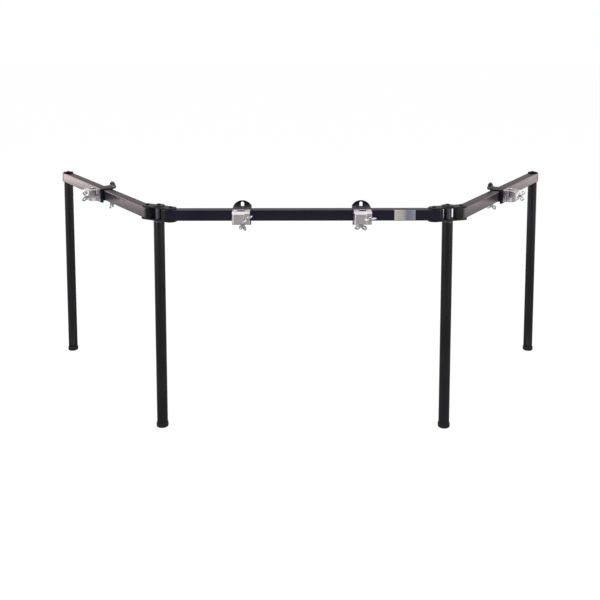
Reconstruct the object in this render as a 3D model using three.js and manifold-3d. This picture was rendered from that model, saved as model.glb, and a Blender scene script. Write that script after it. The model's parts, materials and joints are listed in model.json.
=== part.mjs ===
// A three-sided drum rack frame: a front bar and two wing bars of square tube on four round legs.
// Straight three-bolt links join the bars at the front corners, and four clamps ride on the bars.
// Millimetres, +X to the right as seen from the front, +Y to the back, +Z up.
// The origin is on the floor under the middle of the rack's own outline.
import * as THREE from 'three';
import { mergeVertices } from 'three/addons/utils/BufferGeometryUtils.js';
import Module from 'manifold-3d';

const wasm = await Module();
wasm.setup();

// Bars: square tube, with the length of each and the height of their underside
const bar_side = 38.1;
const bar_wall = 2.5;
const bar_corner_radius = 3;
const bar_underside_height = 750;
const front_bar_length = 962;
const wing_bar_length = 926;
const corner_bolt_setback = 29;
const rear_bolt_setback = 21;

// Bar end plugs: a head as wide as the bar and a spigot inside it
const plug_head_length = 14;
const plug_spigot_length = 34;
const plug_edge = 1.2;

// Legs and feet
const leg_diameter = 38.1;
const leg_wall = 2.5;
const rear_leg_end_thickness = 14;
const foot_diameter = 42.6;
const foot_height = 16;
const foot_edge_radius = 4.5;
const foot_spigot_length = 26;

// Corner links: two plates, a stepped post in the front leg, a cap on top and three bolts
const link_bolt_spacing = 52;
const link_plate_thickness = 5;
const link_end_radius = 21;
const post_diameter = 28;
const post_collar_height = 6;
const post_spigot_length = 40;
const post_bore_depth = 52;
const cap_diameter = 42;
const cap_thickness = 4;
const cap_edge = 1;
const left_link_angle = 148;
const left_wing_angle = 122;
const right_link_angle = 18;
const right_wing_angle = 59;

// Cap-headed corner bolts
const bolt_diameter = 8;
const bolt_head_diameter = 14;
const bolt_head_height = 3.8;
const bolt_head_edge = 1.8;
const bolt_end_reach = 2;

// Clearances: between pieces that seat on each other, and past a face that a cut goes through
const seat_gap = 0.3;
const cut_overrun = 2;

// Clamp bracket: a thick skirt on the bar's outer face and a plate over its top to an upturned tab
const bracket_width = 64;
const skirt_thickness = 8;
const plate_thickness = 4;
const skirt_drop = 4;
const bracket_corner_radius = 3;
const bracket_reach = 54;
const tab_height = 24;
const tab_bend_radius = 3;
const tab_slot_width = 11;
const tab_slot_margin = 4.5;
const tab_recess_depth = 2.2;
const tab_recess_web = 3;
const tab_recess_height = 8;
const tab_recess_length = 14;
const screw_boss_diameter = 13;
const screw_boss_height = 8;
const screw_boss_clearance = 2.1;
const clamp_screw_reach = 45.6;

// Lower jaw, hinged under the bracket's front edge
const jaw_hinge_drop = 7;
const jaw_knuckle_radius = 5.5;
const jaw_knuckle_width = 39.4;
const jaw_pin_diameter = 5;
const lower_jaw_thickness = 6.5;
const lower_jaw_end_radius = 10.5;
const lower_jaw_slot_width = 9.2;
const lower_jaw_slot_length = 13;

// Pipe holder: a base on the bracket and a hinged jaw, split through the pipe bore
const pipe_diameter = 25.4;
const holder_width = 60;
const base_height = 46;
const base_depth = 18;
const holder_slit = 1.5;
const holder_edge_radius = 4;
const pipe_jaw_height = 44;
const pipe_jaw_nose_height = 31;
const pipe_jaw_nose_reach = 53;
const pipe_jaw_nose_length = 19;
const pipe_jaw_ear_reach = 48;
const pipe_jaw_ear_length = 17;
const pipe_jaw_nose_radius = 8;
const hinge_knuckle_radius = 5;
const hinge_knuckle_height = 16;
const hinge_pin_diameter = 4.4;
const rivet_diameter = 12;
const jaw_screw_inset = 8;
const jaw_screw_slot_height = 9;
const jaw_screw_end_gap = 4;

// Wing screws, and the neck that sets the ears of the clamp's own screw below its lower jaw
const screw_diameter = 8;
const clamp_screw_neck_length = 13;
const clamp_screw_neck_diameter = 12.5;
const wing_hub_diameter = 15.5;
const wing_hub_length = 12;
const wing_ear_radius = 8.3;
const wing_ear_hole_radius = 3.9;
const wing_ear_offset = 14;
const wing_ear_rise = 14;
const wing_thickness = 4.4;
const wing_hub_edge = 1.2;

// Places of the clamps along their bars, and how each wing screw was left turned
const front_left_clamp_place = -207;
const front_right_clamp_place = 203;
const left_wing_clamp_place = 425;
const right_wing_clamp_place = 407;
const jaw_screw_turns = { front_left: 42, front_right: 18, left_wing: 80, right_wing: 65 };
const clamp_screw_turns = { front_left: 60, front_right: 12, left_wing: 35, right_wing: 100 };

// Steps round a full circle
const large_round_steps = 20;
const small_round_steps = 10;
const corner_steps = 8;
const dome_steps = 32;
const loop_steps = 9;

const bar_axis_height = bar_underside_height + bar_side / 2;
const bar_half = bar_side / 2;
const seat_face = bar_half + seat_gap;

const black_tube = new THREE.MeshStandardMaterial({ color: '#242326', roughness: 0.42, metalness: 0.6 });
const black_plate = new THREE.MeshStandardMaterial({ color: '#1c1b1e', roughness: 0.38, metalness: 0.6 });
const black_plastic = new THREE.MeshStandardMaterial({ color: '#1a1a1b', roughness: 0.6, metalness: 0 });
const rubber = new THREE.MeshStandardMaterial({ color: '#121212', roughness: 0.85, metalness: 0 });
const chrome = new THREE.MeshStandardMaterial({ color: '#c9c9cc', roughness: 0.18, metalness: 1 });
const dark_steel = new THREE.MeshStandardMaterial({ color: '#38383b', roughness: 0.4, metalness: 0.9 });

// Turns a closed geometry into a solid, with its shared corners merged and its empty faces left out
function solid(geometry) {
  const bare = geometry.clone();
  bare.deleteAttribute('normal');
  bare.deleteAttribute('uv');
  const merged = mergeVertices(bare);
  const corners = merged.index.array;
  const faces = [];
  for (let i = 0; i < corners.length; i += 3) {
    const [a, b, c] = corners.slice(i, i + 3);
    if (a !== b && b !== c && c !== a) faces.push(a, b, c);
  }
  const vertProperties = new Float32Array(merged.attributes.position.array);
  return new wasm.Manifold(new wasm.Mesh({ numProp: 3, vertProperties, triVerts: new Uint32Array(faces) }));
}

function geometryOf(body) {
  const { vertProperties, triVerts } = body.getMesh();
  const geometry = new THREE.BufferGeometry();
  geometry.setAttribute('position', new THREE.BufferAttribute(vertProperties, 3));
  geometry.setIndex(new THREE.BufferAttribute(triVerts, 1));
  geometry.computeVertexNormals();
  return geometry;
}

const x_axis = new THREE.Vector3(1, 0, 0);
const y_axis = new THREE.Vector3(0, 1, 0);
const z_axis = new THREE.Vector3(0, 0, 1);
const outline_planes = {
  x: new THREE.Matrix4().makeBasis(y_axis, z_axis, x_axis),
  y: new THREE.Matrix4().makeBasis(z_axis, x_axis, y_axis),
  z: new THREE.Matrix4(),
};

// Carries an outline from one place to another along an axis.
// The outline's own two directions are y, z along x; z, x along y; and x, y along z.
function prism(outline, axis, from, to) {
  const geometry = new THREE.ExtrudeGeometry(outline, { depth: to - from, bevelEnabled: false });
  geometry.translate(0, 0, from);
  return solid(geometry.applyMatrix4(outline_planes[axis]));
}

// Points along an arc, at the steps of a full circle
function arc(u, v, radius, from, to, steps = large_round_steps) {
  const count = Math.max(1, Math.round((Math.abs(to - from) / (2 * Math.PI)) * steps));
  return Array.from({ length: count + 1 }, (_, i) => {
    const turn = from + ((to - from) * i) / count;
    return new THREE.Vector2(u + radius * Math.cos(turn), v + radius * Math.sin(turn));
  });
}

function circle(radius, u = 0, v = 0, steps = small_round_steps) {
  return new THREE.Shape(arc(u, v, radius, 0, Math.PI * 2, steps).slice(1));
}

function polygon(...pairs) {
  return new THREE.Shape(pairs.map(([u, v]) => new THREE.Vector2(u, v)));
}

// A round bar along an axis, with its centre at u, v in the outline's own directions
function rod(radius, axis, from, to, u = 0, v = 0, steps = small_round_steps) {
  return prism(circle(radius, u, v, steps), axis, from, to);
}

// A block between two corners
function block(low, high) {
  const geometry = new THREE.BoxGeometry(high[0] - low[0], high[1] - low[1], high[2] - low[2]);
  geometry.translate((high[0] + low[0]) / 2, (high[1] + low[1]) / 2, (high[2] + low[2]) / 2);
  return solid(geometry);
}

// A rounded rectangle between two corners of the outline's plane
function panel(low_u, high_u, low_v, high_v, radius) {
  return new THREE.Shape([
    ...arc(high_u - radius, low_v + radius, radius, -Math.PI / 2, 0, corner_steps),
    ...arc(high_u - radius, high_v - radius, radius, 0, Math.PI / 2, corner_steps),
    ...arc(low_u + radius, high_v - radius, radius, Math.PI / 2, Math.PI, corner_steps),
    ...arc(low_u + radius, low_v + radius, radius, Math.PI, Math.PI * 3 / 2, corner_steps),
  ]);
}

function square(side, radius) {
  return panel(-side / 2, side / 2, -side / 2, side / 2, radius);
}

// A slot or plate with round ends about two points on the outline's first direction
function stadium(from, to, radius, steps = small_round_steps) {
  return new THREE.Shape([
    ...arc(from, 0, radius, Math.PI / 2, Math.PI * 3 / 2, steps),
    ...arc(to, 0, radius, -Math.PI / 2, Math.PI / 2, steps),
  ]);
}

// A turned piece: pairs of radius and height, from the axis or an outer edge upwards
function turned(profile, steps = large_round_steps) {
  const points = profile.map(([radius, height]) => new THREE.Vector2(radius, height));
  return solid(new THREE.LatheGeometry(points, steps).rotateX(Math.PI / 2));
}

function radians(degrees) {
  return THREE.MathUtils.degToRad(degrees);
}

// Hangs a named piece in a group
function add(group, name, body, material) {
  const mesh = new THREE.Mesh(body.isBufferGeometry ? body : geometryOf(body), material);
  mesh.name = name;
  group.add(mesh);
  return mesh;
}

// The corners of a square tube: its section's inner corners keep the wall even
const tube_bore_side = bar_side - 2 * bar_wall;
const tube_bore_radius = bar_corner_radius / 2;
const bolt_hole_radius = bolt_diameter / 2 + seat_gap;

// A bar along x between its plug heads, with a bolt hole through both walls near each end
function barTube(first_bolt, first_setback, last_setback, length) {
  const start = first_bolt - first_setback;
  const section = square(bar_side, bar_corner_radius);
  section.holes.push(square(tube_bore_side, tube_bore_radius));
  const low = start + plug_head_length + seat_gap;
  const high = start + length - plug_head_length - seat_gap;
  const last_bolt = start + length - last_setback;
  return [first_bolt, last_bolt].reduce(
    (tube, place) => tube.subtract(
      rod(bolt_hole_radius, 'z', -bar_half - cut_overrun, bar_half + cut_overrun, place),
    ),
    prism(section, 'x', low, high),
  );
}

// An end plug whose head's outer face is at x = 0 and whose spigot runs along +x to past its bolt
function endPlug(setback) {
  const head = new THREE.ExtrudeGeometry(square(bar_side - 2 * plug_edge, bar_corner_radius), {
    depth: plug_head_length - 2 * plug_edge, bevelSize: plug_edge, bevelThickness: plug_edge,
    bevelSegments: 1,
  });
  head.translate(0, 0, plug_edge);
  const spigot_side = tube_bore_side - 2 * seat_gap;
  const spigot = prism(
    square(spigot_side, tube_bore_radius), 'x',
    plug_head_length - plug_edge, plug_head_length + plug_spigot_length,
  );
  return solid(head.applyMatrix4(outline_planes.x)).add(spigot)
    .subtract(rod(bolt_hole_radius, 'z', -bar_half, bar_half, setback));
}

// A cap-headed bolt under z = 0, where its head sits, with its shank down to the given depth
function bolt(depth) {
  const radius = bolt_diameter / 2;
  const head = bolt_head_diameter / 2;
  return turned([
    [0, -depth], [radius, -depth], [radius, 0], [head, 0], [head, bolt_head_height - bolt_head_edge],
    [head - bolt_head_edge, bolt_head_height], [0, bolt_head_height],
  ], small_round_steps);
}

function cap() {
  const radius = cap_diameter / 2;
  return turned([
    [radius, 0], [radius, cap_thickness - cap_edge], [radius - cap_edge, cap_thickness],
    [bolt_hole_radius, cap_thickness], [bolt_hole_radius, 0], [radius, 0],
  ]);
}

// Feet and legs, from the floor up
function foot() {
  const radius = foot_diameter / 2;
  const spigot = leg_diameter / 2 - leg_wall - seat_gap;
  const edge = arc(
    radius - foot_edge_radius, foot_edge_radius, foot_edge_radius, -Math.PI / 2, 0, corner_steps,
  );
  return turned([
    [0, 0], ...edge.map((point) => point.toArray()), [radius, foot_height], [spigot, foot_height],
    [spigot, foot_height + foot_spigot_length], [0, foot_height + foot_spigot_length],
  ]);
}

function openLeg(top) {
  const outer = leg_diameter / 2;
  const bottom = foot_height + seat_gap;
  return turned([
    [outer, bottom], [outer, top], [outer - leg_wall, top], [outer - leg_wall, bottom], [outer, bottom],
  ]);
}

// A rear leg's top is closed by a thick end that takes the bolt from above
function closedLeg(top) {
  const outer = leg_diameter / 2;
  const bottom = foot_height + seat_gap;
  const ceiling = top - rear_leg_end_thickness;
  return turned([
    [outer, bottom], [outer, top], [bolt_hole_radius, top], [bolt_hole_radius, ceiling],
    [outer - leg_wall, ceiling], [outer - leg_wall, bottom], [outer, bottom],
  ]);
}

const bottom_plate_top = bar_underside_height - seat_gap;
const collar_top = bottom_plate_top - link_plate_thickness - seat_gap;
const front_leg_top = collar_top - post_collar_height - seat_gap;
const top_plate_bottom = bar_underside_height + bar_side + seat_gap;
const top_plate_top = top_plate_bottom + link_plate_thickness;
const corner_cap_bottom = top_plate_top + seat_gap;
const corner_bolt_end = bottom_plate_top - link_plate_thickness - bolt_end_reach;

// A stepped post: a spigot in the leg, a collar on its rim, and a pillar through the bottom plate
function cornerPost() {
  const spigot = leg_diameter / 2 - leg_wall - seat_gap;
  const pillar = post_diameter / 2;
  const bottom = front_leg_top - post_spigot_length;
  const shoulder = collar_top - post_collar_height;
  const top = top_plate_bottom - seat_gap;
  return turned([
    [0, bottom], [spigot, bottom], [spigot, shoulder], [leg_diameter / 2, shoulder],
    [leg_diameter / 2, collar_top], [pillar, collar_top], [pillar, top], [bolt_hole_radius, top],
    [bolt_hole_radius, top - post_bore_depth], [0, top - post_bore_depth],
  ]);
}

// A link plate from its lower face up, with its three holes
function linkPlate(bottom, middle_hole_radius) {
  const span = 2 * link_bolt_spacing;
  const outline = stadium(0, span, link_end_radius, large_round_steps);
  const top = bottom + link_plate_thickness;
  const hole = (radius, place, steps) => rod(
    radius, 'z', bottom - cut_overrun, top + cut_overrun, place, 0, steps,
  );
  return prism(outline, 'z', bottom, top)
    .subtract(hole(bolt_hole_radius, 0, small_round_steps))
    .subtract(hole(middle_hole_radius, link_bolt_spacing, large_round_steps))
    .subtract(hole(bolt_hole_radius, span, small_round_steps));
}

// Clamps, about the bar's axis: x along the bar, -y to its outer face, z up
const bracket_half = bracket_width / 2;
const bracket_back = bracket_reach - bar_half;
const bracket_front = -seat_face - skirt_thickness;
const bracket_top = seat_face + plate_thickness;
const tab_face = bracket_back - plate_thickness;
const tab_top = bar_half + tab_height;
const clamp_screw_place = clamp_screw_reach - bar_half;
const jaw_hinge_y = bracket_front + jaw_knuckle_radius;
const jaw_hinge_z = -bar_half - jaw_hinge_drop;
const jaw_ear_inner = jaw_knuckle_width / 2 + seat_gap;
const screw_hole_radius = screw_diameter / 2 + seat_gap;

// The bracket's side view: down the bar's outer face, along its top and up into the tab
function bracketSection() {
  const bend_y = tab_face - tab_bend_radius;
  const bend_z = bracket_top + tab_bend_radius;
  const corner = bracket_corner_radius;
  return new THREE.Shape([
    ...polygon(
      [bracket_front, -bar_half - skirt_drop], [-seat_face, -bar_half - skirt_drop],
      [-seat_face, seat_face],
    ).getPoints(),
    ...arc(bend_y, bend_z, tab_bend_radius + plate_thickness, -Math.PI / 2, 0, small_round_steps),
    ...polygon([bracket_back, tab_top], [tab_face, tab_top]).getPoints(),
    ...arc(bend_y, bend_z, tab_bend_radius, 0, -Math.PI / 2, small_round_steps),
    ...arc(bracket_front + corner, bracket_top - corner, corner, Math.PI / 2, Math.PI, corner_steps),
  ]);
}

// A recess beside the tab's slot: a triangle whose sloping side follows the dome
function tabRecess(side) {
  const inner = tab_slot_width / 2 + tab_recess_web;
  const low = tab_top - tab_slot_margin - tab_recess_height;
  const outline = polygon(
    [low, side * inner], [low, side * (inner + tab_recess_length)], [low + tab_recess_height, side * inner],
  );
  return prism(outline, 'y', tab_face - tab_bend_radius, tab_face + tab_recess_depth);
}

function clampBracket() {
  const rise = tab_top - bracket_top;
  const dome_radius = (bracket_half ** 2 + rise ** 2) / (2 * rise);
  const over = cut_overrun;
  const dome = rod(
    dome_radius, 'y', bracket_front - over, bracket_back + over, tab_top - dome_radius, 0, dome_steps,
  );
  const shoulders = block(
    [-bracket_half - over, bracket_front - over, bracket_top],
    [bracket_half + over, bracket_back + over, tab_top + over],
  ).subtract(dome);
  const slot_radius = tab_slot_width / 2;
  const slot_top = tab_top - tab_slot_margin - slot_radius;
  const plate_slot = prism(
    stadium(-seat_face, slot_top, slot_radius), 'y',
    clamp_screw_place + screw_boss_diameter / 2 + seat_gap, bracket_back + over,
  );
  const tab_slot = prism(
    new THREE.Shape([
      ...arc(slot_top, 0, slot_radius, -Math.PI / 2, Math.PI / 2, small_round_steps),
      ...polygon([bracket_top, slot_radius], [bracket_top, -slot_radius]).getPoints(),
    ]), 'y', tab_face - tab_bend_radius, bracket_back + over,
  );
  const boss_bottom = seat_face - screw_boss_height;
  const boss = rod(
    screw_boss_diameter / 2, 'z', boss_bottom, seat_face + seat_gap, 0, clamp_screw_place,
  ).subtract(block(
    [-bracket_half, 0, boss_bottom - over], [bracket_half, bar_half + screw_boss_clearance, seat_face],
  ));
  const screw_hole = rod(
    screw_hole_radius, 'z', boss_bottom - over, bracket_top + over, 0, clamp_screw_place,
  );
  const ear_root = block(
    [jaw_ear_inner, bracket_front, jaw_hinge_z], [bracket_half, -seat_face, seat_gap - bar_half],
  );
  const ear = rod(jaw_knuckle_radius, 'x', jaw_ear_inner, bracket_half, jaw_hinge_y, jaw_hinge_z)
    .add(ear_root);
  const pin_hole_radius = jaw_pin_diameter / 2 + seat_gap;
  const pin_hole = rod(
    pin_hole_radius, 'x', -bracket_half - over, bracket_half + over, jaw_hinge_y, jaw_hinge_z,
  );
  const notch = block(
    [-jaw_ear_inner, bracket_front - over, jaw_hinge_z - over],
    [jaw_ear_inner, -seat_face + over, jaw_hinge_z + jaw_knuckle_radius + seat_gap],
  );
  const rivet_hole = rod(rivet_diameter / 2 + seat_gap, 'y', bracket_front - over, -seat_face + over);
  return prism(bracketSection(), 'x', -bracket_half, bracket_half)
    .add(boss).subtract(notch).add(ear).add(ear.mirror([1, 0, 0]))
    .subtract(shoulders).subtract(plate_slot).subtract(tab_slot)
    .subtract(tabRecess(1)).subtract(tabRecess(-1))
    .subtract(screw_hole).subtract(pin_hole).subtract(rivet_hole);
}

// The lower jaw: a knuckle with its pin, and a plate under the bar that narrows to a round end
function lowerJaw() {
  const half = jaw_knuckle_width / 2;
  const front = -bar_half + seat_gap;
  const outline = new THREE.Shape([
    ...polygon([-half, front], [half, front], [half, bar_half / 2]).getPoints(),
    ...arc(0, clamp_screw_place, lower_jaw_end_radius, 0, Math.PI),
    new THREE.Vector2(-half, bar_half / 2),
  ]);
  const plate = prism(outline, 'z', -seat_face - lower_jaw_thickness, -seat_face);
  const slot_half = lower_jaw_slot_length / 2 - lower_jaw_slot_width / 2;
  const slot = prism(
    stadium(-slot_half, slot_half, lower_jaw_slot_width / 2), 'z',
    -seat_face - lower_jaw_thickness - cut_overrun, -seat_face + cut_overrun,
  ).rotate([0, 0, 90]).translate([0, clamp_screw_place, 0]);
  const pin_half = bracket_half - seat_gap;
  return plate
    .add(rod(jaw_knuckle_radius, 'x', -half, half, jaw_hinge_y, jaw_hinge_z))
    .add(rod(jaw_pin_diameter / 2, 'x', -pin_half, pin_half, jaw_hinge_y, jaw_hinge_z))
    .subtract(slot);
}

const base_back = bracket_front - seat_gap;
const base_front = base_back - base_depth;
const pipe_axis_y = base_front - holder_slit / 2;
const jaw_inner = base_front - holder_slit;
const nose_front = bracket_front - pipe_jaw_nose_reach;
const ear_front = bracket_front - pipe_jaw_ear_reach;
const holder_half = holder_width / 2;
const pipe_hinge_x = hinge_knuckle_radius - holder_half;
const jaw_screw_place = holder_half - jaw_screw_inset;

// The holder's base: half the pipe bore, the middle knuckle with its pin, an open slot for the
// jaw's screw, and a rivet through the bracket
function pipeBase() {
  const over = cut_overrun;
  const low = -base_height / 2;
  const high = base_height / 2;
  const swing_radius = hinge_knuckle_radius + 2 * seat_gap;
  const body = prism(
    panel(-holder_half, holder_half, base_front, base_back, holder_edge_radius / 2), 'z', low, high,
  );
  const bore = rod(pipe_diameter / 2, 'z', low - over, high + over, 0, pipe_axis_y, large_round_steps);
  const swing = rod(swing_radius, 'z', low - over, high + over, pipe_hinge_x, pipe_axis_y);
  const corner = block(
    [-holder_half - over, base_front - over, low - over],
    [pipe_hinge_x, pipe_axis_y + swing_radius, high + over],
  );
  const knuckle_half = hinge_knuckle_height / 2;
  const knuckle = rod(hinge_knuckle_radius, 'z', -knuckle_half, knuckle_half, pipe_hinge_x, pipe_axis_y);
  const arm = block(
    [pipe_hinge_x, base_front, -knuckle_half],
    [pipe_hinge_x + swing_radius, base_front + swing_radius, knuckle_half],
  );
  const pin_half = pipe_jaw_height / 2 - seat_gap;
  const pin = rod(hinge_pin_diameter / 2, 'z', -pin_half, pin_half, pipe_hinge_x, pipe_axis_y);
  const slot = block(
    [jaw_screw_place - screw_hole_radius, base_front - over, -jaw_screw_slot_height / 2],
    [holder_half + over, base_back - jaw_screw_end_gap + seat_gap, jaw_screw_slot_height / 2],
  );
  const rivet = rod(rivet_diameter / 2, 'y', base_back - seat_gap, -seat_face - seat_gap);
  return body.subtract(bore).subtract(swing).subtract(corner)
    .add(arm).add(knuckle).add(pin).subtract(slot).add(rivet);
}

// The hinged jaw: a nose over the pipe whose top and bottom slope in, and an ear for the screw
function pipeJaw() {
  const over = cut_overrun;
  const half = pipe_jaw_height / 2;
  const ear_start = holder_half - pipe_jaw_ear_length;
  const nose = pipe_jaw_nose_radius;
  const edge = holder_edge_radius;
  const knuckle_top = pipe_axis_y - hinge_knuckle_radius;
  const outline = new THREE.Shape([
    ...polygon(
      [pipe_hinge_x + hinge_knuckle_radius, jaw_inner],
      [pipe_hinge_x + hinge_knuckle_radius, knuckle_top + hinge_knuckle_radius / 2],
      [-holder_half, knuckle_top],
    ).getPoints(),
    ...arc(-holder_half + nose, nose_front + nose, nose, Math.PI, Math.PI * 3 / 2),
    ...arc(ear_start - edge, nose_front + edge, edge, -Math.PI / 2, 0, small_round_steps),
    new THREE.Vector2(ear_start, ear_front),
    ...arc(holder_half - edge, ear_front + edge, edge, -Math.PI / 2, 0, small_round_steps),
    new THREE.Vector2(holder_half, jaw_inner),
  ]);
  const slope_start = nose_front + pipe_jaw_nose_length;
  const slope_end = pipe_jaw_nose_height / 2;
  const side_view = polygon(
    [pipe_axis_y + hinge_knuckle_radius, -half], [pipe_axis_y + hinge_knuckle_radius, half],
    [slope_start, half], [nose_front - over, slope_end], [nose_front - over, -slope_end],
    [slope_start, -half],
  );
  const middle_half = hinge_knuckle_height / 2 + seat_gap;
  const knuckles = rod(hinge_knuckle_radius, 'z', -half, half, pipe_hinge_x, pipe_axis_y);
  const middle = rod(
    hinge_knuckle_radius + 2 * seat_gap, 'z', -middle_half, middle_half, pipe_hinge_x, pipe_axis_y,
  );
  const bore = rod(pipe_diameter / 2, 'z', -half - over, half + over, 0, pipe_axis_y, large_round_steps);
  const pin_hole = rod(
    hinge_pin_diameter / 2 + seat_gap, 'z', -half - over, half + over, pipe_hinge_x, pipe_axis_y,
  );
  const screw_hole = rod(screw_hole_radius, 'y', ear_front - over, jaw_inner + over, 0, jaw_screw_place);
  return prism(outline, 'z', -half, half)
    .intersect(prism(side_view, 'x', -holder_half - over, holder_half + over))
    .add(knuckles).subtract(middle).subtract(bore).subtract(pin_hole).subtract(screw_hole);
}

// A wing screw whose hub sits on z = 0: two looped ears stand up from it, and its neck, if it has one,
// and its shank run down
function wingScrew(shank, neck = 0) {
  const hub = wing_hub_diameter / 2;
  const collar = clamp_screw_neck_diameter / 2;
  const body = turned([
    [0, -shank - neck], [screw_diameter / 2, -shank - neck], [screw_diameter / 2, -neck],
    ...(neck ? [[collar, -neck], [collar, 0]] : []), [hub, 0],
    [hub, wing_hub_length - wing_hub_edge], [hub - wing_hub_edge, wing_hub_length], [0, wing_hub_length],
  ], small_round_steps);
  const outline = new THREE.Shape([
    new THREE.Vector2(wing_hub_length - wing_hub_edge, 0),
    ...arc(
      wing_ear_rise, wing_ear_offset, wing_ear_radius, -Math.PI / 6, Math.PI * 7 / 6, small_round_steps,
    ),
    new THREE.Vector2(wing_hub_edge, 0),
  ]);
  outline.holes.push(circle(wing_ear_hole_radius, wing_ear_rise, wing_ear_offset, loop_steps));
  const ear = prism(outline, 'y', -wing_thickness / 2, wing_thickness / 2);
  return body.add(ear).add(ear.mirror([1, 0, 0]));
}

const clamp_screw_shoulder = -seat_face - lower_jaw_thickness - seat_gap;
const jaw_screw_shoulder = ear_front - seat_gap;
const clamp_pieces = {
  bracket: geometryOf(clampBracket()),
  lower_jaw: geometryOf(lowerJaw()),
  pipe_base: geometryOf(pipeBase()),
  pipe_jaw: geometryOf(pipeJaw()),
  clamp_screw: geometryOf(wingScrew(bracket_top - clamp_screw_shoulder, clamp_screw_neck_length)),
  jaw_screw: geometryOf(wingScrew(base_back - jaw_screw_end_gap - jaw_screw_shoulder)),
};

// A whole clamp on a bar's axis, at a place along it, facing the given way
function addClamp(parent, name, place, facing) {
  const clamp = new THREE.Group();
  clamp.position.set(place, 0, bar_axis_height);
  clamp.rotation.z = radians(facing);
  parent.add(clamp);
  add(clamp, `${name}_clamp_bracket`, clamp_pieces.bracket, black_plate);
  add(clamp, `${name}_lower_jaw`, clamp_pieces.lower_jaw, black_plate);
  add(clamp, `${name}_pipe_base`, clamp_pieces.pipe_base, chrome);
  add(clamp, `${name}_pipe_jaw`, clamp_pieces.pipe_jaw, chrome);
  const down = new THREE.Group();
  down.position.set(0, clamp_screw_place, clamp_screw_shoulder - clamp_screw_neck_length);
  down.rotation.x = Math.PI;
  clamp.add(down);
  add(down, `${name}_clamp_screw`, clamp_pieces.clamp_screw, chrome)
    .rotation.z = radians(clamp_screw_turns[name]);
  const outward = new THREE.Group();
  outward.position.set(jaw_screw_place, jaw_screw_shoulder, 0);
  outward.rotation.x = Math.PI / 2;
  clamp.add(outward);
  add(outward, `${name}_jaw_screw`, clamp_pieces.jaw_screw, chrome)
    .rotation.z = radians(jaw_screw_turns[name]);
}

const foot_piece = geometryOf(foot());
const cap_piece = geometryOf(cap());
const corner_bolt = geometryOf(bolt(corner_cap_bottom - corner_bolt_end));
const post_top = top_plate_bottom - seat_gap;
const post_bolt_end = post_top - post_bore_depth + bolt_end_reach;
const post_bolt_seat = corner_cap_bottom + cap_thickness + seat_gap;
const rear_leg_top = bar_underside_height - seat_gap;
const rear_cap_bottom = bar_underside_height + bar_side + seat_gap;
const rear_bolt_seat = rear_cap_bottom + cap_thickness + seat_gap;
const rear_bolt_end = rear_leg_top - rear_leg_end_thickness + bolt_end_reach;

// A wing from its corner bolt outwards: the bar, its plugs, the rear leg and what fastens it
function addWing(corner, side, angle) {
  const wing = new THREE.Group();
  wing.position.x = 2 * link_bolt_spacing;
  wing.rotation.z = radians(angle);
  corner.add(wing);
  const tube = barTube(0, corner_bolt_setback, rear_bolt_setback, wing_bar_length);
  add(wing, `${side}_wing_bar`, tube, black_tube).position.z = bar_axis_height;
  const front_plug = add(wing, `${side}_wing_front_plug`, endPlug(corner_bolt_setback), black_plastic);
  front_plug.position.set(-corner_bolt_setback, 0, bar_axis_height);
  const rear_plug = add(wing, `${side}_wing_rear_plug`, endPlug(rear_bolt_setback), black_plastic);
  rear_plug.position.set(wing_bar_length - corner_bolt_setback, 0, bar_axis_height);
  rear_plug.rotation.z = Math.PI;
  const rear = new THREE.Group();
  rear.position.x = wing_bar_length - corner_bolt_setback - rear_bolt_setback;
  wing.add(rear);
  add(rear, `rear_${side}_leg`, closedLeg(rear_leg_top), black_tube);
  add(rear, `rear_${side}_foot`, foot_piece, rubber);
  add(rear, `rear_${side}_cap`, cap_piece, black_plate).position.z = rear_cap_bottom;
  add(rear, `rear_${side}_bolt`, bolt(rear_bolt_seat - rear_bolt_end), dark_steel)
    .position.z = rear_bolt_seat;
  return wing;
}

// A front corner about its inner bolt: the link, its post, the front leg and the bolts
function addCorner(rack, side, place, angle) {
  const corner = new THREE.Group();
  corner.position.x = place;
  corner.rotation.z = radians(angle);
  rack.add(corner);
  const bottom_plate = linkPlate(bottom_plate_top - link_plate_thickness, post_diameter / 2 + seat_gap);
  add(corner, `${side}_bottom_link`, bottom_plate, black_plate);
  add(corner, `${side}_top_link`, linkPlate(top_plate_bottom, bolt_hole_radius), black_plate);
  const middle = new THREE.Group();
  middle.position.x = link_bolt_spacing;
  corner.add(middle);
  add(middle, `${side}_corner_post`, cornerPost(), dark_steel);
  add(middle, `${side}_corner_cap`, cap_piece, black_plate).position.z = corner_cap_bottom;
  add(middle, `${side}_post_bolt`, bolt(post_bolt_seat - post_bolt_end), dark_steel)
    .position.z = post_bolt_seat;
  add(middle, `front_${side}_leg`, openLeg(front_leg_top), black_tube);
  add(middle, `front_${side}_foot`, foot_piece, rubber);
  add(corner, `${side}_inner_bolt`, corner_bolt, dark_steel).position.z = corner_cap_bottom;
  add(corner, `${side}_outer_bolt`, corner_bolt, dark_steel)
    .position.set(2 * link_bolt_spacing, 0, corner_cap_bottom);
  return corner;
}

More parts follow.
